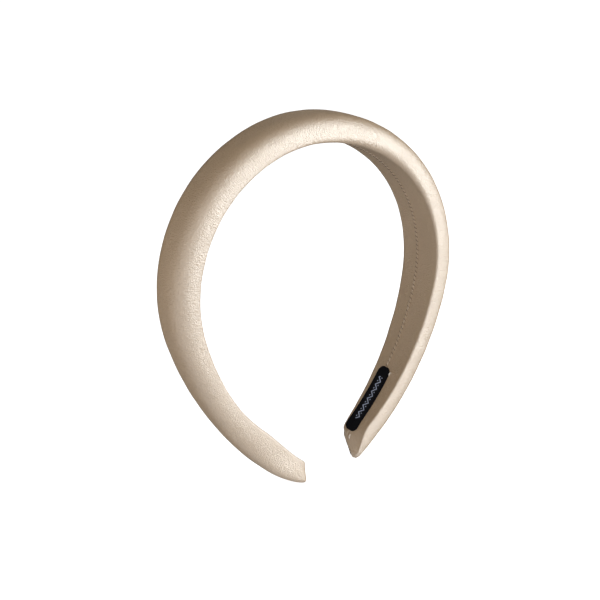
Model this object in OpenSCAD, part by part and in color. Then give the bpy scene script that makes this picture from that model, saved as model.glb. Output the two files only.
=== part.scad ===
// Padded headband: a sprung moulded core, a domed foam pad, wadding and a wrapped satin cover.
// X runs ear to ear, Y front (-) to rear (+), Z up. The origin is the centre of the crown's inner arc.
// Each layer is cut at two flex lines into a crown length and two arm lengths.

/* [Hoop] */
// Inner radius of the crown arc
head_r = 61; // [57:0.5:65]
// Half angle of the crown arc, measured from the top
crown_turn = 105; // [100:1:106]
// Inner radius of the flatter side arcs
side_r = 128; // [120:1:136]
// Turn of each side arc down to its tip
side_turn = 37.5; // [34:0.5:39]

/* [Band] */
// Width of the finished band at the crown
band_w = 28; // [26:0.5:30]
// Width of the finished band at the tips
tip_w = 12.8; // [12.2:0.2:14]
// Thickness of the finished band at the crown
band_t = 11; // [10:0.5:13]
// Thickness of the finished band just above the tips
tip_t = 10; // [9:0.5:11]
// How far each tip's front edge reaches past its middle
tip_slant = 4.5; // [0:0.5:5]

/* [Layers] */
// Thickness of the moulded core
core_t = 1.8; // [1.6:0.1:2]
// Thickness of the satin cover on the outer side
cover_t = 0.5; // [0.4:0.05:0.6]
// Thickness of the overlapped cover flaps under the core
flap_t = 0.9; // [0.8:0.05:0.95]
// Thickness of the wadding
wadding_t = 0.9; // [0.7:0.1:1]

/* [Flex] */
// Angle of each flex line from the top of the crown
flex_turn = 60; // [58:1:64]
// Largest outward spread the flex relief clears, in degrees
open_turn = 15; // [8:1:15]
// Largest inward turn the flex relief clears, in degrees
close_turn = 3; // [1:1:4]

/* [Seam] */
// Offset of the closing seam from the centre line, towards the rear
seam_y = 2.4; // [1.6:0.1:2.6]
// Radius of the seam thread
thread_r = 0.15; // [0.12:0.01:0.16]

/* [Label] */
// Length of the woven label
label_l = 34; // [28:1:35]
// Width of the woven label
label_w = 8.4; // [7:0.2:8.6]
// Offset of the label from the centre line, towards the rear
label_y = 2.2; // [1.6:0.1:2.3]

/* [Hidden] */
$fn = 96;
gap = 0.15;
hinge_gap = 0.05;
// how square the dome, the foot and the lining inside the foot are
dome_e = 3.1;
foot_e = 7;
lining_e = 8;
// height of the band's widest line above the inner face
dome_c = 1.2;
// the crown's foot is trimmed back to a true arc, and the arms' foot stands this far off it
foot_trim = 0.4;
arm_foot = 0.15;
// how late the width and the thickness fall off towards the tips
taper_e = 1.65;
thin_e = 2.5;
// rings along each arm, and points across a section
crown_n = 9;
side_n = 13;
dome_n = 14;
loop_n = 28;
// the tip's corners round off, its end slants and its dome falls away over these lengths
tip_round = 3;
slant_len = 14;
fall_len = 12;
// share of the width left at the end, share of the dome lost there, and how late each goes
tip_keep = 0.7;
fall = 0.5;
fall_e = 1.3;
slant_e = 1.5;
// distances from the tip of the rings that round it off
tip_rings = [tip_round, 2.2, 1.2, 0.4];
// the seam's groove, its thread, and the shallow marks that carry the groove's corners on
groove_d = 0.45;
groove_w = 0.75;
mark_d = 0.01;
stitch = 3;
stitch_sway = 0.1;
thread_h = 0.22;
thread_cut = 2.5;
seam_split = 0.6;
// whip stitches: how many, how far each steps across the tip and how high they sway
whips = 8;
whip_step = 0.75;
whip_h = 3.2;
whip_sway = 0.5;
whip_off = 0.26;
// how far short of the tip each layer ends
lining_cut = 1;
wad_cut = 3;
core_cut = 5;
pad_cut = 4;
label_t = 0.35;
label_gap = 0.05;
label_end = 23.4;
label_lift = 5;
tack_r = 0.18;
tack_l = 1.6;
// the top tack lies beside the label this far from its top end, the low one this far past its low end
tack_in = 2.3;
tack_past = 2.6;
far = 300;

core_in = flap_t + gap;
core_out = core_in + core_t;
foam_in = core_out + gap;
pivot_r = core_in + core_t / 2;
core_side = 2.6;
foam_side = cover_t + wadding_t + 5 * gap;
core_lap = 0.35;
wad_foot = 1.7;
rad = PI / 180;
crown_len = head_r * crown_turn * rad;
side_len = side_r * side_turn * rad;
half_len = crown_len + side_len;
tip_turn = crown_turn + side_turn;
side_c = head_r - side_r;
flex_len = head_r * flex_turn * rad;
relief = open_turn / 2;
pinch = close_turn / 2;

// ---------- the hoop's path ----------

// distance along the inner face from the top to a turn
function run(a) = a <= crown_turn ? head_r * a * rad : crown_len + side_r * (a - crown_turn) * rad;
// turn at a distance along the inner face
function turn(s) = s <= crown_len ? s / head_r / rad : crown_turn + (s - crown_len) / side_r / rad;
// point at turn a, y across the band and height r above the inner face
function spot(a, y, r) = abs(a) <= crown_turn
    ? [(head_r + r) * sin(a), y, (head_r + r) * cos(a)]
    : [side_c * sin(crown_turn) + (side_r + r) * sin(a), y,
       side_c * cos(crown_turn) + (side_r + r) * cos(a)];

// ---------- the band's size along the path ----------

function round_off(s) = let (d = max(0, half_len - s))
    d >= tip_round ? 1 : tip_keep + (1 - tip_keep) * sqrt(1 - pow(1 - d / tip_round, 2));
// how far a distance lies down the arm, from 0 at the flex line to 1 at the tip
function down(s) = min(1, max(0, s - flex_len) / (half_len - flex_len));
function half_w(s) = round_off(s) * (tip_w + (band_w - tip_w) * (1 - pow(down(s), taper_e))) / 2;
function dome_off(s) = 1 - fall * pow(max(0, 1 - max(0, half_len - s) / fall_len), fall_e);
function rise(s) = let (t = tip_t + (band_t - tip_t) * (1 - pow(down(s), thin_e)))
    dome_c + (t - dome_c) * dome_off(s);
// how far a point y across the band moves along it where the tip slants
function slant(s, y) = -tip_slant * y / (tip_w / 2) * pow(max(0, 1 - (half_len - s) / slant_len), slant_e);

// ---------- sections, as lists of [y, r] ----------

function spow(v, e) = sign(v) * pow(abs(v), 2 / e);
// closed loop: a dome above dome_c and a flatter foot below it
function loop(hw, top, foot, e) = [for (k = [0 : loop_n - 1])
    let (t = 360 * k / loop_n, u = sin(t))
    [hw * spow(cos(t), u < 0 ? e : dome_e),
     u >= 0 ? dome_c + (top - dome_c) * spow(u, dome_e) : dome_c + (dome_c - foot) * spow(u, e)]];
// open dome from the front foot over the top to the rear foot
function dome(hw, base, top) = [for (k = [0 : dome_n])
    let (t = 180 * k / dome_n)
    [hw * spow(cos(t), dome_e), base + (top - base) * spow(max(0, sin(t)), dome_e)]];
// the same loop with the four corners of the seam's groove put in after the middle of its foot
function grooved(line, hw, foot, depth) = let (m = loop_n * 3 / 4,
    y0 = min(seam_y - groove_w / 2, 0.3 * hw), y1 = min(seam_y + groove_w / 2, 0.45 * hw))
    concat([for (k = [0 : m]) line[k]],
           [[y0, foot], [y0, foot + depth], [y1, foot + depth], [y1, foot]],
           [for (k = [m + 1 : loop_n - 1]) line[k]]);
function arm_out(s) = let (hw = half_w(s), deep = s > half_len - tip_round ? mark_d : groove_d - arm_foot)
    grooved(loop(hw, rise(s), arm_foot, foot_e), hw, arm_foot, deep);
function arm_in(s) = let (hw = half_w(s) - cover_t)
    grooved(loop(hw, rise(s) - cover_t, flap_t, lining_e), half_w(s), flap_t, mark_d / 2);
function wad_line(s, inset) = dome(half_w(s) - inset, wad_foot, rise(s) - inset);
function wad_out(s) = wad_line(s, cover_t + gap);
function wad_in(s) = wad_line(s, cover_t + gap + wadding_t);
function foam_line(s) = dome(half_w(s) - foam_side, foam_in, rise(s) - foam_side);

// ---------- rings of points ----------

// how far an end ring leans away from its flex line, so the arm can turn about pivot_r
function lean(r) = let (d = r - pivot_r)
    (gap / 2 + (d > 0 ? d * tan(relief) : -d * tan(pinch))) / (head_r + r) / rad;
// place a section at turn a; f is 1 where the ring leans away from a flex line
function place(line, a, f) = [for (p = line)
    spot(turn(run(a) + slant(run(a), p[0])) + f * lean(p[1]), p[0], p[1])];
function arm_stops(cut) = concat(
    [for (i = [0 : crown_n]) flex_turn + (crown_turn - flex_turn) * i / crown_n],
    [for (i = [1 : side_n - 1]) let (a = crown_turn + side_turn * i / side_n)
        if (run(a) < half_len - cut - 0.5 && run(a) < half_len - tip_round - 0.5) a],
    [for (d = tip_rings) if (d > cut + 0.3) turn(half_len - d)],
    [turn(half_len - cut)]);

// ---------- solids from rings ----------

function wall(base, n, m, flip) = [for (i = [0 : n - 2]) for (k = [0 : m - 1])
    let (a = base + i * m + k, b = base + i * m + (k + 1) % m)
    each flip ? [[a, b + m, b], [a, a + m, b + m]] : [[a, b, b + m], [a, b + m, a + m]]];
function fan(base, m, flip) = [for (k = [1 : m - 2])
    flip ? [base, base + k + 1, base + k] : [base, base + k, base + k + 1]];
function rim(outer, inner, m, flip) = [for (k = [0 : m - 1])
    let (a = outer + k, b = outer + (k + 1) % m, c = inner + k, d = inner + (k + 1) % m)
    each flip ? [[a, c, d], [a, d, b]] : [[a, b, d], [a, d, c]]];
function flat(rings) = [for (g = rings) for (p = g) p];

// solid sweep of a convex section
module sweep(rings) {
    m = len(rings[0]);
    n = len(rings);
    polyhedron(flat(rings), concat(wall(0, n, m, true), fan(0, m, false), fan((n - 1) * m, m, true)));
}

// tube sweep, open at the first ring and closed at the last
module sock(outer, inner) {
    m = len(outer[0]);
    n = len(outer);
    k = len(inner);
    polyhedron(flat(concat(outer, inner)),
        concat(wall(0, n, m, true), wall(n * m, k, m, false), rim(0, n * m, m, false),
               fan((n - 1) * m, m, true), fan((n + k - 1) * m, m, false)));
}

// channel sweep: two open lines joined along their feet
module channel(outer, inner) {
    m = len(outer[0]);
    rings = [for (i = [0 : len(outer) - 1]) concat(outer[i], [for (k = [m - 1 : -1 : 0]) inner[i][k]])];
    n = len(rings);
    w = 2 * m;
    function strip(base, flip) = [for (k = [0 : m - 2])
        let (a = base + k, b = base + k + 1, c = base + w - 1 - k, d = base + w - 2 - k)
        each flip ? [[a, c, d], [a, d, b]] : [[a, b, d], [a, d, c]]];
    polyhedron(flat(rings), concat(wall(0, n, w, true), strip(0, false), strip((n - 1) * w, true)));
}

// ---------- true round shapes ----------

// area inside the hoop's inner line, grown by g
module inside(g) {
    tx = sin(crown_turn);
    tz = cos(crown_turn);
    circle(r = head_r + g);
    intersection() {
        translate([side_c * tx, side_c * tz]) circle(r = side_r + g);
        translate([-side_c * tx, side_c * tz]) circle(r = side_r + g);
        polygon([[0, 0], [far * tx, far * tz], [far, -far], [-far, -far], [-far * tx, far * tz]]);
    }
}

// extrude a profile drawn in X and Z along Y, from y0 to y1
module across(y0, y1) {
    translate([0, y1, 0]) rotate([90, 0, 0]) linear_extrude(y1 - y0) children();
}

// flat ring of the hoop between two heights above the inner face
module hoop_ring(r0, r1) {
    difference() {
        inside(r1);
        inside(r0);
    }
}

// centre of the flex line in X and Z
module at_flex() {
    translate([(head_r + pivot_r) * sin(flex_turn), (head_r + pivot_r) * cos(flex_turn)]) children();
}

// the crown's share of the hoop in X and Z, leaning back from both flex lines
module crown_wedge() {
    t = flex_turn;
    p = [(head_r + pivot_r) * sin(t) - gap / 2 * cos(t), (head_r + pivot_r) * cos(t) + gap / 2 * sin(t)];
    out = p + far * [sin(t - relief), cos(t - relief)];
    in = p - head_r * 0.9 * [sin(t + pinch), cos(t + pinch)];
    polygon([in, p, out, [0, 2 * far], [-out[0], out[1]], [-p[0], p[1]], [-in[0], in[1]]]);
}

// turn a section, drawn as [y, r], about the crown's axis and keep the crown's share
module crown_turned() {
    intersection() {
        rotate([-90, 0, 0]) rotate_extrude() translate([head_r, 0]) mirror([1, -1]) children();
        across(-band_w, band_w) crown_wedge();
    }
}

// outline that narrows the core towards its tips, seen from the side
module core_outline() {
    n = 30;
    edge = [for (i = [0 : n]) let (s = flex_len + (half_len - tip_round - flex_len) * i / n)
        [half_w(s) - core_side, spot(turn(s), 0, 0)[2]]];
    top = head_r + 20;
    low = edge[n][1] - 20;
    rotate([90, 0, 90]) linear_extrude(2 * far, center = true) polygon(concat(
        [[edge[0][0], top]], edge, [[edge[n][0], low], [-edge[n][0], low]],
        [for (i = [n : -1 : 0]) [-edge[i][0], edge[i][1]]], [[-edge[0][0], top]]));
}

module core_arm() {
    a = flex_turn;
    e = turn(half_len - core_cut);
    tip_in = spot(e, 0, -1);
    tip_out = spot(e, 0, core_out + 9);
    intersection() {
        across(-band_w / 2, band_w / 2) union() {
            intersection() {
                hoop_ring(core_in, core_out);
                polygon([[0, 0], [far * sin(a), far * cos(a)], [far, -far],
                         [tip_out[0], tip_out[2]], [tip_in[0], tip_in[2]]]);
            }
            at_flex() circle(r = core_t / 2);
        }
        core_outline();
    }
}

module cover_arm() {
    stops = arm_stops(0);
    lining = arm_stops(lining_cut);
    sock([for (i = [0 : len(stops) - 1]) place(arm_out(run(stops[i])), stops[i], i == 0 ? 1 : 0)],
         [for (i = [0 : len(lining) - 1]) place(arm_in(run(lining[i])), lining[i], i == 0 ? 1 : 0)]);
}

module wadding_arm() {
    stops = arm_stops(wad_cut);
    channel([for (i = [0 : len(stops) - 1]) place(wad_out(run(stops[i])), stops[i], i == 0 ? 1 : 0)],
            [for (i = [0 : len(stops) - 1]) place(wad_in(run(stops[i])), stops[i], i == 0 ? 1 : 0)]);
}

module pad_arm() {
    stops = arm_stops(pad_cut);
    sweep([for (i = [0 : len(stops) - 1]) place(foam_line(run(stops[i])), stops[i], i == 0 ? 1 : 0)]);
}

// round cord through a list of points, six sides; side is a direction the path never runs along
module cord(path, r, side) {
    n = len(path);
    sweep([for (i = [0 : n - 1])
        let (d = path[min(i + 1, n - 1)] - path[max(i - 1, 0)], t = d / norm(d),
             u = side - t * (t * side), v = u / norm(u), w = cross(t, v))
        [for (k = [0 : 5]) path[i] + r * (cos(60 * k) * v + sin(60 * k) * w)]]);
}

// running thread in the seam's groove, swaying a little at each stitch
function seam_path(s0, s1) = let (n = round((s1 - s0) / stitch)) [for (i = [0 : n])
    let (s = s0 + (s1 - s0) * i / n, a = turn(abs(s)))
    spot(s < 0 ? -a : a, seam_y + (i % 2 == 0 ? stitch_sway : -stitch_sway), thread_h)];

module seam_arm() {
    cord(seam_path(flex_len + seam_split, half_len - tip_round - thread_cut), thread_r, [0, 1, 0]);
}

// whip stitches that close the folded tip
module tip_stitch() {
    away = [cos(tip_turn), 0, -sin(tip_turn)];
    cord([for (i = [0 : whips]) let (y = (i - whips / 2) * whip_step)
        spot(turn(half_len + slant(half_len, y)), y, whip_h + (i % 2 == 0 ? whip_sway : -whip_sway))
            + away * whip_off], thread_r, away);
}

// put a shape at turn a of the right arm: its X runs to the tip, its Z points out of the hoop
module on_arm(a, y, r) {
    translate(spot(a, y, r)) rotate([0, a, 0]) children();
}

// label outline in its own plane, X along the arm
module label_outline() {
    r = label_w * 0.4;
    translate([-label_l / 2 + r, -label_w / 2]) square([label_l - 2 * r, label_w]);
    translate([-label_l / 2, -label_w / 2 + r]) square([label_l, label_w - 2 * r]);
    for (i = [-1, 1]) for (j = [-1, 1])
        translate([i * (label_l / 2 - r), j * (label_w / 2 - r)]) circle(r = r);
}

// short stitch along the arm on the cover, d from the label's middle towards the tip
module label_tack(d, y) {
    on_arm(turn(half_len - label_end + d), y, arm_foot - label_gap - tack_r) {
        rotate([0, 90, 0]) cylinder(r = tack_r, h = tack_l, center = true);
        for (i = [-1, 1]) translate([i * tack_l / 2, 0, 0]) sphere(r = tack_r);
    }
}

// ---------- the nodes ----------

module core_crown() {
    t = flex_turn;
    color([0.86, 0.84, 0.80]) intersection() {
        across(-band_w / 2, band_w / 2) difference() {
            intersection() {
                hoop_ring(core_in, core_out);
                polygon([[0, 0], [-far * sin(t), far * cos(t)], [0, 2 * far],
                         [far * sin(t), far * cos(t)]]);
            }
            for (m = [0, 1]) mirror([m, 0]) at_flex() {
                circle(r = core_t / 2 + hinge_gap);
                rotate(-flex_turn) translate([-core_lap, -core_t]) square([core_t, 2 * core_t]);
            }
        }
        core_outline();
    }
}

module core_left() {
    color([0.86, 0.84, 0.80]) mirror([1, 0, 0]) core_arm();
}

module core_right() {
    color([0.86, 0.84, 0.80]) core_arm();
}

module pad_crown() {
    color([0.93, 0.90, 0.80]) crown_turned() polygon(foam_line(0));
}

module pad_left() {
    color([0.93, 0.90, 0.80]) mirror([1, 0, 0]) pad_arm();
}

module pad_right() {
    color([0.93, 0.90, 0.80]) pad_arm();
}

module wadding_crown() {
    inner = wad_in(0);
    m = len(inner) - 1;
    color([0.96, 0.95, 0.92]) crown_turned() polygon(concat(wad_out(0), [for (k = [m : -1 : 0]) inner[k]]));
}

module wadding_left() {
    color([0.96, 0.95, 0.92]) mirror([1, 0, 0]) wadding_arm();
}

module wadding_right() {
    color([0.96, 0.95, 0.92]) wadding_arm();
}

module cover_crown() {
    color([0.79, 0.70, 0.58]) crown_turned() difference() {
        polygon(loop(half_w(0), rise(0), -foot_trim, foot_e));
        polygon(loop(half_w(0) - cover_t, rise(0) - cover_t, flap_t, lining_e));
        translate([-band_w, -band_w]) square([2 * band_w, band_w]);
        translate([seam_y - groove_w / 2, -1]) square([groove_w, 1 + groove_d]);
    }
}

module cover_left() {
    color([0.79, 0.70, 0.58]) mirror([1, 0, 0]) cover_arm();
}

module cover_right() {
    color([0.79, 0.70, 0.58]) cover_arm();
}

module seam_crown() {
    s = flex_len - seam_split;
    color([0.66, 0.57, 0.46]) cord(seam_path(-s, s), thread_r, [0, 1, 0]);
}

module seam_left() {
    color([0.66, 0.57, 0.46]) mirror([1, 0, 0]) seam_arm();
}

module seam_right() {
    color([0.66, 0.57, 0.46]) seam_arm();
}

module tip_stitch_left() {
    color([0.66, 0.57, 0.46]) mirror([1, 0, 0]) tip_stitch();
}

module tip_stitch_right() {
    color([0.66, 0.57, 0.46]) tip_stitch();
}

module label() {
    color([0.06, 0.06, 0.07]) intersection() {
        across(label_y - label_w, label_y + label_w) intersection() {
            hoop_ring(-label_gap - label_t, -label_gap);
            polygon([[0, 0], [far, 0], [far, -far], [0, -far]]);
        }
        on_arm(turn(half_len - label_end), label_y, -label_lift)
            linear_extrude(2 * label_lift) label_outline();
    }
}

module label_tack_top() {
    color([0.62, 0.54, 0.44]) label_tack(tack_in - label_l / 2, label_y - label_w / 2 - tack_r - label_gap);
}

module label_tack_low() {
    color([0.62, 0.54, 0.44]) label_tack(label_l / 2 + tack_past, 0);
}

core_crown();
core_left();
core_right();
pad_crown();
pad_left();
pad_right();
wadding_crown();
wadding_left();
wadding_right();
cover_crown();
cover_left();
cover_right();
seam_crown();
seam_left();
seam_right();
tip_stitch_left();
tip_stitch_right();
label();
label_tack_top();
label_tack_low();
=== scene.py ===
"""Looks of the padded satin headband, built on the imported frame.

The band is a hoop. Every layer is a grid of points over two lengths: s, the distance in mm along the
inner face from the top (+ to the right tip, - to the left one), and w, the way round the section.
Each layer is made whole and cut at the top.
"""

import math

import bpy
import numpy as np
from mathutils import Matrix, Vector


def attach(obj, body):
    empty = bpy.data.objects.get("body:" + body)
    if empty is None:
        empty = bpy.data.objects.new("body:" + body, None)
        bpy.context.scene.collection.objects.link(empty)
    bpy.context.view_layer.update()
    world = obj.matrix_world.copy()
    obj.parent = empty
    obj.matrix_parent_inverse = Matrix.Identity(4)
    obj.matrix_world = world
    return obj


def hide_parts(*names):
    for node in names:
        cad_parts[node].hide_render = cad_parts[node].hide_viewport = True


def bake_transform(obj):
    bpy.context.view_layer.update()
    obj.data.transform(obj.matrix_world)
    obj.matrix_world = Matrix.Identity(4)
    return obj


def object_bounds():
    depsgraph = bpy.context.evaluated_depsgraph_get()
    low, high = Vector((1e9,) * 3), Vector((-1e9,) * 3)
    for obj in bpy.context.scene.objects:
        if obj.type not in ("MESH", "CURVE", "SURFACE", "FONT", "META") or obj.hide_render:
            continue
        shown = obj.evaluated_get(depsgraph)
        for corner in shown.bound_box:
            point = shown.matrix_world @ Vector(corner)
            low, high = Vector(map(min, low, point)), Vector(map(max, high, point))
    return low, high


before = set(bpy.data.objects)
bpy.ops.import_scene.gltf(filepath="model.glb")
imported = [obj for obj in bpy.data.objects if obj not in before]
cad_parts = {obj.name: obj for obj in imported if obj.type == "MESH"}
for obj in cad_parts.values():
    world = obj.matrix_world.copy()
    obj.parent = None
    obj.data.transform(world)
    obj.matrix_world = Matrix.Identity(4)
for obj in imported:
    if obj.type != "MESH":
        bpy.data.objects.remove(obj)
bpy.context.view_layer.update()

MM = 0.001
SIDES = {"left": -1, "right": 1}

# ---------- the hoop and the band, in mm ----------

# The hoop's arcs, BAND_T, TIP_T, SEAM_Y and the label's length, width and offset are the CAD's.
# BAND_W, TIP_W and TAPER_E are this file's own and follow the photo. The CAD's band is 28 mm and 12.8 mm wide.
# STITCH and THREAD_R are this file's own too: the CAD has 3 and 0.15.

HEAD_R = 61.0
CROWN_TURN = math.radians(105)
SIDE_R = 128.0
SIDE_TURN = math.radians(37.5)
FLEX_TURN = math.radians(60)
CROWN_LEN = HEAD_R * CROWN_TURN
HALF_LEN = CROWN_LEN + SIDE_R * SIDE_TURN
FLEX_LEN = HEAD_R * FLEX_TURN
SIDE_C = HEAD_R - SIDE_R

BAND_W, TIP_W = 27.5, 12.7
BAND_T, TIP_T = 11.0, 10.0
TAPER_E = 2.8
DOME_E, CORNER = 3.1, 0.6
TIP_ROUND = 3.0
SLANT_LEN, FALL_LEN = 14.0, 12.0

# How the two halves of the hand-wrapped band differ. For each folded tip: its middle's reach, its slant,
# how its outer side leans outwards and falls, the extra thickness, width and squareness, the fold's facet and
# how far the inner side of the front edge is pinched outwards.
# For each half: how far its rear edge stands out beyond its front one, and how far its inner face sags
# inwards a little before the tip.
TIPS = {
    "left": {
        "reach": -1.6, "slant": 4.4, "lean": 0.85, "fall": 0.30, "full": 1.5, "wide": 1.6, "square": 3.2,
        "facet": 0.5, "rear": -1.3, "sag": 2.2, "pinch": 0.0,
    },
    "right": {
        "reach": -1.75, "slant": 3.95, "lean": 0.18, "fall": 0.12, "full": 0.1, "wide": 1.2, "square": 0.0,
        "facet": 0.1, "rear": 1.0, "sag": 0.0, "pinch": 0.6,
    },
}

SEAM_Y = 2.4
STITCH = 2.1
HEM = 4.0
THREAD_R = 0.13
CORE_MID, CORE_HALF_T = 1.95, 0.88
CLOTH_T = 0.2

LABEL_S, LABEL_Y = HALF_LEN - 23.4, 2.2
LABEL_L, LABEL_W, LABEL_T = 34.0, 8.4, 0.35

HOOP_MIDDLE = Vector((0, 0, -0.014))


def turn(s):
    """Turn at a distance along the inner face."""
    return np.where(s <= CROWN_LEN, s / HEAD_R, CROWN_TURN + (s - CROWN_LEN) / SIDE_R)


def spot(s, y, r):
    """Points in metres at distance s along, y across and height r above the inner face."""
    front = np.clip(0.5 - y / TIP_W, 0, 1)
    r = r + tip_value(s, "pinch") * front * near_tip(s, 12) ** 1.6 * np.maximum(rise(s) - r, 0)
    a = turn(np.abs(s))
    crown = a <= CROWN_TURN
    radius = np.where(crown, HEAD_R, SIDE_R) + r
    x = np.where(crown, 0, SIDE_C * math.sin(CROWN_TURN)) + radius * np.sin(a)
    z = np.where(crown, 0, SIDE_C * math.cos(CROWN_TURN)) + radius * np.cos(a)
    return np.stack([np.sign(s) * x, y + 0 * x, z], -1) * MM


def tip_value(s, key):
    """One of the TIPS values for the side that s is on."""
    return np.where(s < 0, TIPS["left"][key], TIPS["right"][key])


def near_tip(s, length):
    """0 up to a length from the tip, 1 at the tip."""
    return np.clip(1 - (HALF_LEN - np.abs(s)) / length, 0, 1)


def ease(x):
    """Smooth step from 0 to 1."""
    return x * x * (3 - 2 * x)


def fullness(s):
    """0 along the band, rising over the last stretch to 1 at each tip, where the cloth is gathered."""
    return ease(near_tip(s, 60))


def dome_e(s):
    """The dome's squareness, which grows where the cloth is folded flat at the tips."""
    return DOME_E + tip_value(s, "square") * near_tip(s, 26)


def rearwards(s, y):
    """The rear edge stands out a little further than the front one, and more so on the right half."""
    mix = ease(np.clip(s / 60 + 0.5, 0, 1))
    stand = TIPS["left"]["rear"] * (1 - mix) + TIPS["right"]["rear"] * mix
    stand = stand + 1.6 * np.exp(-((s - 25) / 30) ** 2)
    return np.where(y > 0, y * (1 + stand * (1 - (s / HALF_LEN) ** 4) / half_w(s)), y)


def half_w(s):
    """Half the band's width, rounded off at the tips."""
    d = np.clip(HALF_LEN - np.abs(s), 0, TIP_ROUND)
    round_off = 0.7 + 0.3 * np.sqrt(1 - (1 - d / TIP_ROUND) ** 2)
    width = (TIP_W + (BAND_W - TIP_W) * (1 - (np.abs(s) / HALF_LEN) ** TAPER_E)) / 2
    return round_off * (width + tip_value(s, "wide") * fullness(s) / 2)


def rise(s):
    """The dome's height above the inner face."""
    t = TIP_T + (BAND_T - TIP_T) * (1 - (np.abs(s) / HALF_LEN) ** 4)
    t = t * (1 - tip_value(s, "fall") * near_tip(s, FALL_LEN) ** 2)
    return t + 0.8 * tip_value(s, "full") * fullness(s)


def slanted(s, y, r):
    """s moved along so that each tip's front edge and outer side reach further than its rear edge."""
    moved = tip_value(s, "reach") - tip_value(s, "slant") * y / (TIP_W / 2) + tip_value(s, "lean") * r
    return s + np.sign(s) * moved * near_tip(s, SLANT_LEN) ** 1.5


def sagged(s, r):
    """r where the padding bulges the inner face inwards, near a tip and beside the top.

    The outer side stays.
    """
    depth = tip_value(s, "sag") * np.exp(-((HALF_LEN - np.abs(s) - 22) / 18) ** 2)
    depth = depth + 1.3 * np.exp(-((s - 24) / 26) ** 2)
    return r - depth * np.clip(1 - r / rise(s), 0, 1.1)


def spow(v, e):
    """Signed power that turns a circle into a superellipse."""
    return np.sign(v) * np.abs(v) ** (2 / e)


def front_corner(s):
    """Radius of the front edge, which is softest beside the top on the right half."""
    return CORNER + 2.8 * np.exp(-((s - 34) / 34) ** 2)


def section(hw, top, foot, e, front):
    """Closed section from the seam's place on the foot, rearwards over the dome and back.

    Returns y, r and the arc length, one row for each half width and height.
    """
    hw, top, e = hw[:, None], top[:, None], e[:, None]
    corner, front = np.minimum(CORNER, 0.2 * hw), np.minimum(front[:, None], 0.3 * hw)
    seam = np.minimum(SEAM_Y, 0.4 * hw)
    share = np.linspace(0, 1, 24)[None]
    bend_at = np.linspace(0, math.pi / 2, 14)[None, 1:]
    flat_y = seam + (hw - corner - seam) * share
    rounds = [(hw - c + c * np.sin(bend_at), foot + c * (1 - np.cos(bend_at))) for c in (corner, front)]
    (round_y, round_r), (front_y, front_r) = rounds
    height = top - foot
    first, last = [np.arcsin((c / height) ** (e / 2)) for c in (corner, front)]
    t = first + (math.pi - first - last) * ease(np.linspace(0, 1, 241)[None, 1:-1])
    dome_y, dome_r = hw * spow(np.cos(t), e), foot + height * spow(np.sin(t), e)
    back_y = -(hw - front) + (seam + hw - front) * np.linspace(0, 1, 40)[None]
    y = np.concatenate([flat_y, round_y, dome_y, -front_y[:, ::-1], back_y], 1)
    r = np.concatenate([foot + 0 * flat_y, round_r, dome_r, front_r[:, ::-1], foot + 0 * back_y], 1)
    steps = np.hypot(np.diff(y), np.diff(r))
    return y, r, np.concatenate([np.zeros((len(y), 1)), np.cumsum(steps, 1)], 1)


def resample(ys, rs, w, at):
    """The section's points at the arc lengths at, one row each."""
    y = np.array([np.interp(a, b, c) for a, b, c in zip(at, w, ys)])
    r = np.array([np.interp(a, b, c) for a, b, c in zip(at, w, rs)])
    return y, r


def turned_normals(y, r):
    """Unit normals of a section in its own plane, pointing away from its middle."""
    dy, dr = np.gradient(y, axis=1), np.gradient(r, axis=1)
    size = np.hypot(dy, dr) + 1e-9
    return dr / size, -dy / size


# ---------- meshes from grids ----------

def grid_normals(p, out):
    """Unit normals of a grid of points, on the side that most of out (rough directions) points to."""
    n = np.cross(np.gradient(p, axis=0), np.gradient(p, axis=1))
    n /= np.linalg.norm(n, axis=2, keepdims=True) + 1e-12
    return n * np.sign((n * out).sum())


def grid_quads(rows, cols, base, flip):
    i, k = np.meshgrid(np.arange(rows - 1), np.arange(cols - 1), indexing="ij")
    a = base + i * cols + k
    quads = np.stack([a, a + 1, a + cols + 1, a + cols], -1).reshape(-1, 4)
    return quads[:, ::-1] if flip else quads


def make_mesh(name, points, faces, uv, normals=None):
    """Mesh object from points in metres, quads, a uv per point in mm and a normal per face corner."""
    mesh = bpy.data.meshes.new(name)
    mesh.from_pydata([tuple(p) for p in points], [], [tuple(int(v) for v in f) for f in faces])
    corner = np.zeros(len(mesh.loops), int)
    mesh.loops.foreach_get("vertex_index", corner)
    layer = mesh.uv_layers.new(name="Cloth")
    layer.data.foreach_set("uv", np.asarray(uv)[corner].ravel())
    mesh.polygons.foreach_set("use_smooth", np.ones(len(mesh.polygons), bool))
    if normals is not None:
        mesh.normals_split_custom_set([tuple(n) for n in normals])
    mesh.update()
    obj = bpy.data.objects.new(name, mesh)
    bpy.context.scene.collection.objects.link(obj)
    return obj


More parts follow.
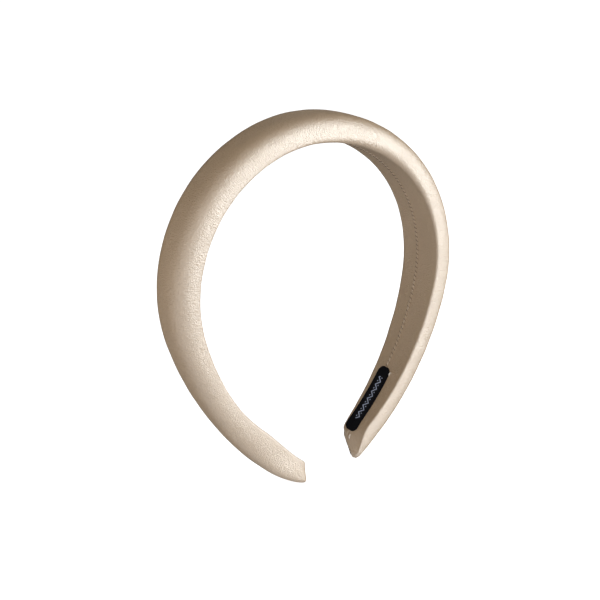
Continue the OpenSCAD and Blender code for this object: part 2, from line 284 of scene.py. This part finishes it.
def shell(name, top, under, uv, smooth):
    """Closed thin shell between two grids of points; smooth holds top's normals."""
    rows, cols = top.shape[:2]
    n = rows * cols
    i, k = rows // 2, cols // 2
    flip = np.dot(np.cross(top[i, k + 1] - top[i, k], top[i + 1, k] - top[i, k]), smooth[i, k]) < 0
    faces = [grid_quads(rows, cols, 0, flip), grid_quads(rows, cols, n, not flip)]

    def rim(edge, turned):
        quads = np.stack([edge[:-1], edge[1:], edge[1:] + n, edge[:-1] + n], -1)
        return quads[:, ::-1] if turned else quads

    index = np.arange(n).reshape(rows, cols)
    faces += [rim(index[0], not flip), rim(index[-1], flip)]
    faces += [rim(index[:, 0], flip), rim(index[:, -1], not flip)]
    broad = len(faces[0]) + len(faces[1])
    faces = np.concatenate(faces)
    points = np.concatenate([top.reshape(-1, 3), under.reshape(-1, 3)])
    uvs = np.concatenate([uv.reshape(-1, 2)] * 2)
    flat = smooth.reshape(-1, 3)
    corners = np.concatenate([flat, -flat])[faces.ravel()].reshape(-1, 4, 3)
    p = points[faces]
    face_n = np.cross(p[:, 2] - p[:, 0], p[:, 3] - p[:, 1])
    face_n /= np.linalg.norm(face_n, axis=1, keepdims=True) + 1e-15
    corners[broad:] = face_n[broad:, None]
    return make_mesh(name, points, faces, uvs, corners.reshape(-1, 3))


def solid(name, rings, uv):
    """Closed solid from rings of points (rows x points round x 3), capped at both ends."""
    rows, m = rings.shape[:2]
    i, k = np.meshgrid(np.arange(rows - 1), np.arange(m), indexing="ij")
    a, b = i * m + k, i * m + (k + 1) % m
    quads = np.stack([a, b, b + m, a + m], -1).reshape(-1, 4)
    p = rings.reshape(-1, 3)
    out = rings[0, 0] - rings[0].mean(0)
    first = quads[0]
    flip = np.dot(np.cross(p[first[1]] - p[first[0]], p[first[3]] - p[first[0]]), out) < 0
    if flip:
        quads = quads[:, ::-1]
    faces = [list(q) for q in quads]
    start, end = list(range(m)), list(range((rows - 1) * m, rows * m))
    faces += [start if flip else start[::-1], end[::-1] if flip else end]
    obj = make_mesh(name, p, faces, uv.reshape(-1, 2))
    for face in list(obj.data.polygons)[-2:]:
        face.use_smooth = False
    return obj


def tube(name, path, radius, sides=8):
    """Round thread along a path of points in metres."""
    d = np.gradient(path, axis=0)
    d /= np.linalg.norm(d, axis=1, keepdims=True) + 1e-12
    ref = np.array([0.13, 0.97, 0.21])
    u = ref - d * (d @ ref)[:, None]
    u /= np.linalg.norm(u, axis=1, keepdims=True)
    v = np.cross(d, u)
    t = np.linspace(0, 2 * math.pi, sides, endpoint=False)
    size = np.full(len(path), radius * MM)
    size[[0, -1]] *= 0.35
    spoke = np.cos(t)[:, None] * u[:, None] + np.sin(t)[:, None] * v[:, None]
    rings = path[:, None] + size[:, None, None] * spoke
    along = np.concatenate([[0], np.cumsum(np.linalg.norm(np.diff(path, axis=0), axis=1))]) / MM
    uv = np.stack(np.broadcast_arrays(along[:, None], (t * radius)[None]), -1)
    return solid(name, rings, uv)


# ---------- halves: their placement baked in, their material given and the CAD parts they replace hidden ---


def bend(obj):
    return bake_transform(obj)


def dress(obj, material, slot, *nodes):
    obj.data.materials.append(material)
    if nodes:
        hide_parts(*nodes)
    return obj


# ---------- silk: the relief that a taut bias-cut satin shows ----------

def ripple(s, w):
    """Soft unevenness of the wrapped cloth, in mm."""
    slow = np.sin(0.31 * s + 0.21 * w + 1.3) * np.sin(0.17 * s - 0.33 * w + 0.4)
    bias = np.sin(0.62 * (s + w) + 2.0 * np.sin(0.05 * s)) * np.sin(0.11 * s + 0.9)
    fine = np.sin(1.9 * s - 1.3 * w + 3 * np.sin(0.23 * s)) * np.sin(0.7 * w + 0.37 * s)
    return 0.045 * slow + 0.022 * bias + 0.008 * fine


def at_stitch(s):
    """1 at each closing stitch and 0 half way between two of them."""
    return (0.5 + 0.5 * np.cos(2 * math.pi * s / STITCH)) ** 2


def cover_grid(s):
    """Outer face of the wrapped cover over all of s: its y and r, and v, the way round it from the dome.

    The strip runs from its raw edge, under the folded hem, rearwards over the dome and back to its
    other raw edge, which lies under the hem.
    """
    hw, top = half_w(s), rise(s)
    ys, rs, w = section(hw, top, 0.05, dome_e(s), front_corner(s))
    around = w[:, -1]
    near = np.array([0, 0.15, 0.35, 0.6, 0.95, 1.4, 2.0, 2.8])
    middle = np.linspace(0, 1, 76)[1:-1]
    span = around - 2 * near[-1]
    at = np.concatenate([
        np.broadcast_to(near, (len(s), len(near))),
        near[-1] + middle[None] * span[:, None],
        around[:, None] - near[::-1][None],
    ], 1)
    y, r = resample(ys, rs, w, at)
    ny, nr = turned_normals(y, r)
    to_seam = around[:, None] - at
    pull = at_stitch(s)[:, None]
    fade = 1 - 0.75 * near_tip(s, 10)[:, None]
    lift = fade * (0.18 * np.exp(-at / 1.8) * (1 - 0.6 * pull * np.exp(-at / 0.7)))
    dip = fade * (0.10 * np.exp(-to_seam / 0.8) + 0.07 * pull * np.exp(-to_seam / 0.9))
    beside = np.exp(-at / 2.2) + np.exp(-to_seam / 2.2)
    pucker = 0.03 * np.cos(2 * math.pi * s / STITCH)[:, None] * beside * fade
    relief = ripple(s[:, None], at) * np.clip(np.minimum(at, to_seam) / 4, 0.15, 1) + lift - dip + pucker
    y, r = y + ny * relief, r + nr * relief
    # the hem: a fold at the rear flap's edge, and the front flap's edge tucked below it
    roll = np.linspace(0, math.pi, 6)[1:]
    edge_y, edge_r = y[:, :1], r[:, :1]
    depth = 0.19
    fold_y = edge_y - 0.13 * np.sin(roll)[None]
    fold_r = edge_r + depth * (1 - np.cos(roll))[None]
    back = np.linspace(0, HEM, 5)[1:]
    raw_y, raw_r = fold_y[:, -1:] + back[None], fold_r[:, -1:] + 0 * back[None] + 0.02
    tuck = np.linspace(0, HEM - 0.5, 6)[1:]
    squeeze = np.clip(hw / 8, 0.3, 1)[:, None]
    tuck_y = y[:, -1:] + tuck[None] * squeeze
    tuck_r = r[:, -1:] + 0.42 * (1 - np.exp(-tuck / 0.5))[None]
    raw_y = (raw_y - fold_y[:, -1:]) * squeeze + fold_y[:, -1:]
    y = np.concatenate([raw_y[:, ::-1], fold_y[:, ::-1], y, tuck_y], 1)
    r = np.concatenate([raw_r[:, ::-1], fold_r[:, ::-1], r, tuck_r], 1)
    lead = np.concatenate([-(0.6 + back)[::-1], -np.linspace(0.1, 0.6, len(roll))[::-1]])
    v = np.concatenate([np.broadcast_to(lead, (len(s), len(lead))), at, around[:, None] + tuck[None]], 1)
    v = v - around[:, None] / 2
    return y, r, v


def cap(s, y, r, v, sign):
    """Rings that close a folded tip: s, y, r and v of each, from the last ring in."""
    share = np.array([0.975, 0.92, 0.82, 0.66, 0.48, 0.28, 0.06])[:, None]
    out = np.array([0.35, 0.62, 0.78, 0.86, 0.90, 0.92, 0.90])
    centre_r = 3.0
    angle = np.arctan2(r - centre_r, y)[None]
    pleat = 0.14 * np.sin(5 * angle + 0.6) * np.sin(math.pi * share) ** 2
    ys = y[None] * share
    rs = centre_r + (r[None] - centre_r) * share
    ss = s + sign * (out[:, None] + pleat)
    return ss, ys, rs, np.broadcast_to(v, ys.shape)


def facet(s, y, r):
    """How far the front corner of each tip is folded rearwards, in mm."""
    reach = np.abs(s) - HALF_LEN + 3.4 - 0.5 * np.abs(r - 3.5)
    front = np.clip((-y - 1.5) / 3.0, 0, 1)
    return tip_value(s, "facet") * np.clip(reach, 0, 4) * 0.6 * front


def cover():
    """The satin cover, cut at the top into two halves."""
    n = round(HALF_LEN / (STITCH / 4))
    s = np.linspace(-HALF_LEN, HALF_LEN, 2 * n + 1)
    y, r, v = cover_grid(s)
    ss = np.broadcast_to(s[:, None], y.shape)
    head = cap(s[-1], y[-1], r[-1], v[-1], 1)
    foot = cap(s[0], y[0], r[0], v[0], -1)
    ss, y, r, v = [np.concatenate([b[::-1], a, c]) for a, b, c in zip((ss, y, r, v), foot, head)]
    r = sagged(ss, r)
    along = slanted(ss, y, r)
    y = rearwards(ss, y) + facet(ss, y, r)
    top = spot(along, y, r)
    ny, nr = turned_normals(y, r)
    out = spot(along, y + ny, r + nr) - top
    rows = len(ss)
    smooth = grid_normals(top, out)
    under = top - smooth * CLOTH_T * MM
    uv = np.stack([ss, v], -1)
    middle = rows // 2
    parts = {"left": slice(0, middle + 1), "right": slice(middle, rows)}
    made = {}
    for side, part in parts.items():
        obj = shell("satin_" + side + "_half", top[part], under[part], uv[part], smooth[part])
        made[side] = bend(obj)
    return made


# ---------- what the cover hides ----------

def halves(layer, make):
    """A layer's two halves, each from make(name, side's sign)."""
    return {side: bend(make(layer + "_" + side + "_half", m)) for side, m in SIDES.items()}


def dome_line(s, inset, low, n=36):
    """Open line over the dome, inset from the cover, from height low on one side to the same on the other."""
    hw, top, e = (half_w(s) - inset)[:, None], (rise(s) - inset)[:, None], dome_e(s)[:, None]
    first = np.arcsin((low / top) ** (e / 2))
    t = first + (math.pi - 2 * first) * ease(np.linspace(0, 1, n)[None])
    return rearwards(s[:, None], hw * spow(np.cos(t), e)), top * spow(np.sin(t), e)


def foam(name, m):
    """One half of the domed foam pad."""
    s = np.linspace(0, HALF_LEN - 4.5, 120)
    y, r = dome_line(s * m, 2.0, 3.05)
    crown = 0.06 * np.sin(0.9 * s)[:, None] * np.sin(0.5 * y)
    ss = np.broadcast_to(m * s[:, None], y.shape)
    rings = spot(slanted(ss, y, r), y, r + crown)
    return solid(name, rings, np.stack([ss, y * 1.4], -1))


def wadding(name, m):
    """One half of the wadding between foam and cover."""
    s = np.linspace(0, HALF_LEN - 3.4, 160)
    lines = []
    for inset in (0.75, 1.55):
        y, r = dome_line(s * m, inset, 1.75)
        wave = 0.05 * np.sin(1.1 * s)[:, None] * np.sin(0.8 * y + 0.3 * s[:, None])
        lines.append((y, r + wave))
    ss = np.broadcast_to(m * s[:, None], lines[0][0].shape)
    top_p, under_p = [spot(slanted(ss, y, r), y, r) for y, r in lines]
    smooth = grid_normals(top_p, top_p - under_p)
    return shell(name, top_p, under_p, np.stack([ss, lines[0][0] * 1.4], -1), smooth)


def core(name, m):
    """One half of the moulded core."""
    s = np.linspace(0, HALF_LEN - 5.2, 140)
    hw = half_w(s * m) - 2.65
    q = np.linspace(0, 2 * math.pi, 40, endpoint=False)
    y = hw[:, None] * spow(np.cos(q), 9)[None]
    r = CORE_MID + CORE_HALF_T * spow(np.sin(q), 4)[None] + 0 * y
    ss = np.broadcast_to(m * s[:, None], y.shape)
    return solid(name, spot(ss, y, r), np.stack([ss, y * 1.2], -1))


# ---------- thread ----------

def seam_thread(side):
    """Slip stitches that close the hem, one each STITCH, with the thread hidden between them."""
    m = SIDES[side]
    first, last = 0.5, (HALF_LEN - 8) // STITCH
    s_at = np.arange(first, last) * STITCH
    ds = np.array([-0.75, -0.35, -0.12, 0.1, 0.3, 0.55, 0.9])
    dy = np.array([0.55, 0.62, 0.42, 0.05, -0.32, -0.5, -0.3])
    r = np.array([0.35, -0.10, -0.30, -0.27, 0.0, 0.10, 0.45])
    s = (s_at[:, None] + ds).ravel()
    y = SEAM_Y + np.tile(dy, len(s_at))
    path = spot(m * s, y, sagged(m * s, np.tile(r, len(s_at))))
    return bend(tube("seam_thread_" + side, path, THREAD_R, 6))


def tip_thread(side):
    """Whip stitches over the folded end of a tip."""
    m = SIDES[side]
    n = 6
    t = np.linspace(0, n, 12 * n + 1)
    y = -3.4 + 6.6 * t / n
    r = 3.1 + 0.75 * np.sin(2 * math.pi * t)
    deep = 1.02 + 0.28 * np.cos(4 * math.pi * t + 0.4)
    s = slanted(np.full_like(t, m * HALF_LEN), y, r) + m * deep
    obj = tube("tip_thread_" + side, spot(s, y, r), THREAD_R, 6)
    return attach(obj, side + "_arm")


def tack(name, s0, y0, angle, length=1.9, height=-0.32):
    """Short stitch that holds the label, sunk at both ends."""
    t = np.linspace(-1, 1, 13)
    s = s0 + length / 2 * t * math.cos(angle)
    y = y0 + length / 2 * t * math.sin(angle)
    r = height + 0.75 * np.abs(t) ** 3.5
    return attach(tube(name, spot(s, y, r), 0.2, 8), "right_arm")


# ---------- label ----------

def label():
    """Woven satin label, lying over the hem, with rounded ends and a soft edge."""
    corner = 0.4 * LABEL_W
    x = np.concatenate([
        -LABEL_L / 2 + corner * (1 - np.cos(np.linspace(0, math.pi / 2, 14))),
        np.linspace(-LABEL_L / 2 + corner, LABEL_L / 2 - corner, 44)[1:-1],
        LABEL_L / 2 - corner * (1 - np.sin(np.linspace(0, math.pi / 2, 14))),
    ])
    over = np.clip(np.abs(x) - (LABEL_L / 2 - corner), 0, corner)
    width = LABEL_W / 2 - corner + np.sqrt(np.maximum(corner ** 2 - over ** 2, 0))
    v = np.sin(np.linspace(-math.pi / 2, math.pi / 2, 27))
    y = width[:, None] * v[None]
    inside = np.minimum(width[:, None] - np.abs(y), (LABEL_L / 2 - np.abs(x))[:, None])
    crown = LABEL_T * (0.35 + 0.65 * (1 - np.exp(-inside / 0.22)))
    hem = 0.14 / (1 + np.exp(-(LABEL_Y + y - SEAM_Y) / 0.35))
    wave = 0.05 * np.sin(0.42 * x)[:, None] * np.sin(0.5 * y + 0.6)
    lie = -0.12 - hem - wave * np.clip(inside / 1.5, 0, 1)
    s = np.broadcast_to((LABEL_S + x)[:, None], y.shape)
    top = spot(s, LABEL_Y + y, lie - crown)
    under = spot(s, LABEL_Y + y, lie + 0.02)
    smooth = grid_normals(top, top - under)
    uv = np.stack([np.broadcast_to(x[:, None], y.shape), y], -1)
    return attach(shell("woven_label", top, under, uv, smooth), "right_arm")


# ---------- materials ----------

class Paint:
    """A material's node tree, with one short call for each kind of node."""

    def __init__(self, name, **constants):
        self.material = bpy.data.materials.new(name)
        self.material.use_nodes = True
        self.tree = self.material.node_tree
        self.shader = self.tree.nodes["Principled BSDF"]
        for socket, value in constants.items():
            self.shader.inputs[socket.replace("_", " ")].default_value = value
        self.map = self.node("ShaderNodeUVMap")
        self.map.uv_map = "Cloth"

    def node(self, kind, **settings):
        made = self.tree.nodes.new(kind)
        for key, value in settings.items():
            setattr(made, key, value)
        return made

    def link(self, source, target):
        self.tree.links.new(source, target)

    def mapped(self, turn=0.0, scale=(1, 1, 1)):
        """UV in mm, turned and scaled."""
        m = self.node("ShaderNodeMapping")
        m.inputs["Rotation"].default_value = (0, 0, turn)
        m.inputs["Scale"].default_value = scale
        self.link(self.map.outputs[0], m.inputs["Vector"])
        return m.outputs[0]

    def noise(self, vector, scale, detail=2.0, rough=0.5):
        n = self.node("ShaderNodeTexNoise")
        n.inputs["Scale"].default_value = scale
        n.inputs["Detail"].default_value = detail
        n.inputs["Roughness"].default_value = rough
        self.link(vector, n.inputs["Vector"])
        return n.outputs[0]

    def bands(self, vector, scale, distortion=0.0):
        n = self.node("ShaderNodeTexWave", bands_direction="X", wave_profile="SIN")
        n.inputs["Scale"].default_value = scale
        n.inputs["Distortion"].default_value = distortion
        self.link(vector, n.inputs["Vector"])
        return n.outputs["Fac"]

    def math(self, operation, a, b=0.0, clamp=False):
        n = self.node("ShaderNodeMath", operation=operation, use_clamp=clamp)
        for socket, value in zip(n.inputs, (a, b)):
            if isinstance(value, (int, float)):
                socket.default_value = value
            else:
                self.link(value, socket)
        return n.outputs[0]

    def ramp(self, value, low, high, out_low, out_high):
        n = self.node("ShaderNodeMapRange")
        for key, number in zip(("From Min", "From Max", "To Min", "To Max"), (low, high, out_low, out_high)):
            n.inputs[key].default_value = number
        self.link(value, n.inputs["Value"])
        return n.outputs[0]

    def mix(self, factor, a, b):
        n = self.node("ShaderNodeMix", data_type="RGBA")
        self.link(factor, n.inputs["Factor"])
        # sockets 6 and 7 are A and B of the colour kind, and output 2 is its result: their names repeat
        for socket, value in ((n.inputs[6], a), (n.inputs[7], b)):
            if isinstance(value, tuple):
                socket.default_value = (*value, 1)
            else:
                self.link(value, socket)
        return n.outputs[2]

    def bump(self, height, distance, strength=1.0, below=None):
        n = self.node("ShaderNodeBump")
        n.inputs["Distance"].default_value = distance * MM
        n.inputs["Strength"].default_value = strength
        self.link(height, n.inputs["Height"])
        if below is not None:
            self.link(below, n.inputs["Normal"])
        return n.outputs[0]

    def use(self, colour=None, roughness=None, normal=None):
        for socket, value in (("Base Color", colour), ("Roughness", roughness), ("Normal", normal)):
            if value is not None:
                self.link(value, self.shader.inputs[socket])
        return self.material


def silk(name, deep, pale):
    """Champagne silk satin: grain of the floats, fine threads, streaks across the band and a colour drift."""
    p = Paint(
        name, Metallic=0.0, IOR=2.8, Specular_IOR_Level=0.85, Specular_Tint=(1.0, 0.99, 0.96, 1),
        Anisotropic=0.2, Sheen_Weight=0.08, Sheen_Roughness=0.4, Sheen_Tint=(1.0, 0.95, 0.90, 1),
    )
    floats = p.noise(p.mapped(0, (1.7, 0.5, 1)), 1.0, 3.0, 0.6)
    threads = p.bands(p.mapped(), 1.15, 0.6)
    speck = p.noise(p.mapped(), 2.0, 2.0, 0.6)
    drift = p.noise(p.mapped(0, (0.03, 0.06, 1)), 1.0, 2.0)
    tone = p.math("ADD", p.math("MULTIPLY", floats, 0.6), p.math("MULTIPLY", drift, 0.4))
    colour = p.mix(p.ramp(tone, 0.3, 0.7, 0, 1), deep, pale)
    rough = p.ramp(floats, 0.3, 0.7, 0.34, 0.43)
    normal = p.bump(threads, 0.02, 0.5)
    normal = p.bump(floats, 0.50, 0.8, normal)
    normal = p.bump(speck, 0.42, 0.8, normal)
    return p.use(colour, rough, normal)


def spun(name, deep, pale):
    """Twisted sewing thread."""
    p = Paint(name, Specular_IOR_Level=0.45, Sheen_Weight=0.3, Sheen_Roughness=0.4)
    twist = p.bands(p.mapped(math.radians(35)), 2.2, 0.4)
    colour = p.mix(twist, deep, pale)
    return p.use(colour, p.ramp(twist, 0, 1, 0.55, 0.4), p.bump(twist, 0.03, 0.7))


def foam_cell(name):
    """Open-cell foam."""
    p = Paint(name, Specular_IOR_Level=0.2, Subsurface_Weight=0.1)
    cells = p.node("ShaderNodeTexVoronoi")
    cells.inputs["Scale"].default_value = 1.6
    p.link(p.mapped(), cells.inputs["Vector"])
    pores = p.ramp(cells.outputs["Distance"], 0.05, 0.5, 0, 1)
    colour = p.mix(pores, (0.62, 0.55, 0.40), (0.88, 0.82, 0.68))
    return p.use(colour, p.ramp(pores, 0, 1, 0.95, 0.8), p.bump(pores, 0.2, 0.8))


def fibre(name):
    """Needled polyester wadding."""
    p = Paint(name, Specular_IOR_Level=0.25, Sheen_Weight=0.5, Sheen_Roughness=0.6)
    strands = p.noise(p.mapped(0.4, (0.5, 3.0, 1)), 1.0, 6.0, 0.7)
    cross = p.noise(p.mapped(-0.7, (0.6, 3.4, 1)), 1.0, 6.0, 0.7)
    fluff = p.math("MULTIPLY", strands, cross)
    colour = p.mix(p.ramp(fluff, 0.1, 0.45, 0, 1), (0.74, 0.73, 0.70), (0.93, 0.92, 0.90))
    return p.use(colour, p.ramp(fluff, 0.1, 0.4, 0.95, 0.8), p.bump(fluff, 0.25, 0.8))


def moulded(name):
    """Moulded plastic with flow marks and a fine spark-eroded texture."""
    p = Paint(name, Specular_IOR_Level=0.5, Subsurface_Weight=0.05)
    grain = p.noise(p.mapped(), 4.0, 3.0)
    flow = p.noise(p.mapped(0, (0.02, 0.3, 1)), 1.0, 3.0)
    colour = p.mix(p.ramp(flow, 0.3, 0.7, 0, 1), (0.72, 0.69, 0.62), (0.80, 0.78, 0.72))
    return p.use(colour, p.ramp(grain, 0.3, 0.7, 0.38, 0.55), p.bump(grain, 0.02, 0.6))


def woven_label():
    """Black damask satin ribbon with a pale woven zigzag and dots, which spell nothing."""
    p = Paint("label_black_satin", Specular_IOR_Level=0.12, Sheen_Weight=0.03)
    axes = p.node("ShaderNodeSeparateXYZ")
    p.link(p.mapped(), axes.inputs[0])
    x, y = axes.outputs[0], axes.outputs[1]
    pitch, swing, line, dot = 3.8, 1.15, 0.26, 0.42
    cell = p.math("FRACT", p.math("DIVIDE", p.math("ADD", x, 100 * pitch), pitch))
    fold = p.math("ABSOLUTE", p.math("SUBTRACT", cell, 0.5))
    wave = p.math("MULTIPLY", p.math("SUBTRACT", fold, 0.25), 4 * swing)
    height = p.math("ADD", y, 0.3)
    zigzag = p.math("LESS_THAN", p.math("ABSOLUTE", p.math("SUBTRACT", height, wave)), line * 1.6)
    off_turn = p.math("ABSOLUTE", p.math("SUBTRACT", fold, 0.25))
    beside = p.math("MULTIPLY", p.math("SUBTRACT", off_turn, 0.25), pitch)
    above = p.math("SUBTRACT", p.math("ABSOLUTE", height), 0.9)
    from_dot = p.math("ADD", p.math("ABSOLUTE", beside), p.math("ABSOLUTE", above))
    opposite = p.math("LESS_THAN", p.math("MULTIPLY", wave, height), 0)
    dots = p.math("MULTIPLY", p.math("LESS_THAN", from_dot, dot), opposite)
    field = p.math("LESS_THAN", p.math("ABSOLUTE", p.math("ADD", x, 0.5)), 11.4)
    mark = p.math("MULTIPLY", p.math("MAXIMUM", zigzag, dots), field)
    ribs = p.bands(p.mapped(math.pi / 2), 1.3, 0.3)
    satin = p.noise(p.mapped(0, (0.8, 6, 1)), 1.0, 2.0)
    black = p.mix(p.ramp(satin, 0.3, 0.7, 0, 1), (0.0015, 0.0015, 0.002), (0.004, 0.004, 0.006))
    pale = p.mix(ribs, (0.22, 0.25, 0.34), (0.42, 0.46, 0.56))
    colour = p.mix(mark, black, pale)
    rough = p.ramp(satin, 0.3, 0.7, 0.50, 0.65)
    normal = p.bump(p.math("ADD", p.math("MULTIPLY", ribs, 0.5), mark), 0.04, 0.7)
    return p.use(colour, rough, p.bump(satin, 0.04, 0.5, normal))


# ---------- build ----------

CHAMPAGNE = silk("champagne_silk_satin", (0.46, 0.30, 0.165), (0.55, 0.37, 0.208))
# The sewing thread is coloured far darker than the satin. Only a little of that is the thread's own tone; the
# rest is painted shade standing in for the shadow in the seam's groove and in the dimple at each stitch. The
# tip stitches use the same thread.
SHADE_DARKENED_THREAD = spun("sewing_thread_painted_shade", (0.15, 0.10, 0.065), (0.26, 0.18, 0.12))
TACK = spun("tack_thread", (0.75, 0.66, 0.58), (0.92, 0.86, 0.80))
FOAM = foam_cell("cut_foam")
WADDING = fibre("needled_wadding")
CORE = moulded("moulded_core")
LABEL = woven_label()


def replaced(layer, side):
    """The CAD nodes that a half stands for: its arm's, and on the right half the crown's too."""
    return [layer + "_" + side] + ([layer + "_crown"] if side == "right" else [])


for side, obj in cover().items():
    dress(obj, CHAMPAGNE, "satin", *replaced("cover", side))
for side, obj in halves("wadding", wadding).items():
    dress(obj, WADDING, "wadding", *replaced("wadding", side))
for side, obj in halves("foam", foam).items():
    dress(obj, FOAM, "foam", *replaced("pad", side))
for side, obj in halves("core", core).items():
    dress(obj, CORE, "core_plastic", *replaced("core", side))
for side in SIDES:
    dress(seam_thread(side), SHADE_DARKENED_THREAD, "thread", *replaced("seam", side))
    dress(tip_thread(side), SHADE_DARKENED_THREAD, "thread", "tip_stitch_" + side)
dress(label(), LABEL, "label_satin", "label")
dress(tack("tack_top", LABEL_S - 14.7, LABEL_Y - 4.35, 0.15), TACK, "thread", "label_tack_top")
dress(tack("tack_low", LABEL_S + 19.4, LABEL_Y - 2.0, -0.1), TACK, "thread", "label_tack_low")

# ---------- floor, light and camera ----------

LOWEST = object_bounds()[0].z
FLOOR_GAP = 0.0002


def floor():
    """Plain pale floor just under the tips at rest, left out of the object's reflections.

    It does not move with the joints, so a tip that is spread wide dips a few mm below it and is hidden.
    """
    size = 6.0
    mesh = bpy.data.meshes.new("floor")
    z = LOWEST - FLOOR_GAP
    corners = [(-size, -size, z), (size, -size, z), (size, size, z), (-size, size, z)]
    mesh.from_pydata(corners, [], [(0, 1, 2, 3)])
    obj = bpy.data.objects.new("floor", mesh)
    bpy.context.scene.collection.objects.link(obj)
    paint = bpy.data.materials.new("pale_floor")
    paint.use_nodes = True
    shader = paint.node_tree.nodes["Principled BSDF"]
    shader.inputs["Base Color"].default_value = (0.85, 0.85, 0.85, 1)
    shader.inputs["Roughness"].default_value = 0.9
    shader.inputs["Emission Color"].default_value = (1, 1, 1, 1)
    shader.inputs["Emission Strength"].default_value = 0.86
    mesh.materials.append(paint)
    obj.visible_diffuse = False
    obj.visible_glossy = False


def softbox(name, toward, distance, size, power, colour=(1, 1, 1)):
    """Rectangular area light aimed at the middle of the hoop from a direction."""
    data = bpy.data.lights.new(name, "AREA")
    data.shape = "RECTANGLE"
    data.size, data.size_y = size
    data.energy = power
    data.color = colour
    obj = bpy.data.objects.new(name, data)
    bpy.context.scene.collection.objects.link(obj)
    way = Vector(toward).normalized()
    obj.location = way * distance + HOOP_MIDDLE
    obj.rotation_euler = way.to_track_quat("Z", "Y").to_euler()
    return obj


def studio():
    """A pale room: white to the camera, soft grey to the object, and dim behind and above it."""
    world = bpy.data.worlds.new("studio")
    bpy.context.scene.world = world
    world.use_nodes = True
    tree = world.node_tree
    shader = tree.nodes["Background"]
    coords = tree.nodes.new("ShaderNodeTexCoord")
    dot = tree.nodes.new("ShaderNodeVectorMath")
    dot.operation = "DOT_PRODUCT"
    dot.inputs[1].default_value = Vector((0.20, 0.90, 0.35)).normalized()
    tree.links.new(coords.outputs["Generated"], dot.inputs[0])
    fade = tree.nodes.new("ShaderNodeMapRange")
    fade.interpolation_type = "SMOOTHSTEP"
    for key, number in (("From Min", -0.6), ("From Max", 0.65), ("To Min", 0.62), ("To Max", 0.03)):
        fade.inputs[key].default_value = number
    tree.links.new(dot.outputs["Value"], fade.inputs["Value"])
    seen = tree.nodes.new("ShaderNodeLightPath")
    pick = tree.nodes.new("ShaderNodeMix")
    pick.data_type = "FLOAT"
    pick.inputs["B"].default_value = 1.0
    tree.links.new(seen.outputs["Is Camera Ray"], pick.inputs["Factor"])
    tree.links.new(fade.outputs["Result"], pick.inputs["A"])
    tree.links.new(pick.outputs["Result"], shader.inputs["Strength"])
    shader.inputs["Color"].default_value = (1, 1, 1, 1)


def camera():
    """The photograph's view: azimuth, elevation, roll, distance, lens and the small shift of its framing."""
    azimuth, elevation, roll = math.radians(-31.82), math.radians(19.1), math.radians(3.24)
    distance, lens = 0.6567, 89.13
    level = math.cos(elevation)
    back = Vector((math.sin(azimuth) * level, -math.cos(azimuth) * level, math.sin(elevation)))
    right = Vector((math.cos(azimuth), math.sin(azimuth), 0))
    up = back.cross(right)
    x = right * math.cos(roll) - up * math.sin(roll)
    y = right * math.sin(roll) + up * math.cos(roll)
    data = bpy.data.cameras.new("view")
    data.lens = lens
    data.shift_x, data.shift_y = -0.018, 0.0075
    data.clip_start, data.clip_end = 0.01, 50
    obj = bpy.data.objects.new("view", data)
    bpy.context.scene.collection.objects.link(obj)
    turned = Matrix((x, y, back)).transposed().to_4x4()
    obj.matrix_world = Matrix.Translation(HOOP_MIDDLE + back * distance) @ turned
    bpy.context.scene.camera = obj


floor()
studio()
softbox("key", (0.66, -0.68, 0.14), 1.0, (1.3, 1.6), 18.5, (0.94, 0.98, 1.0))
softbox("fill", (-0.97, -0.10, 0.10), 1.0, (1.3, 1.3), 9).visible_glossy = False
camera()
bpy.context.scene.view_settings.view_transform = "Standard"
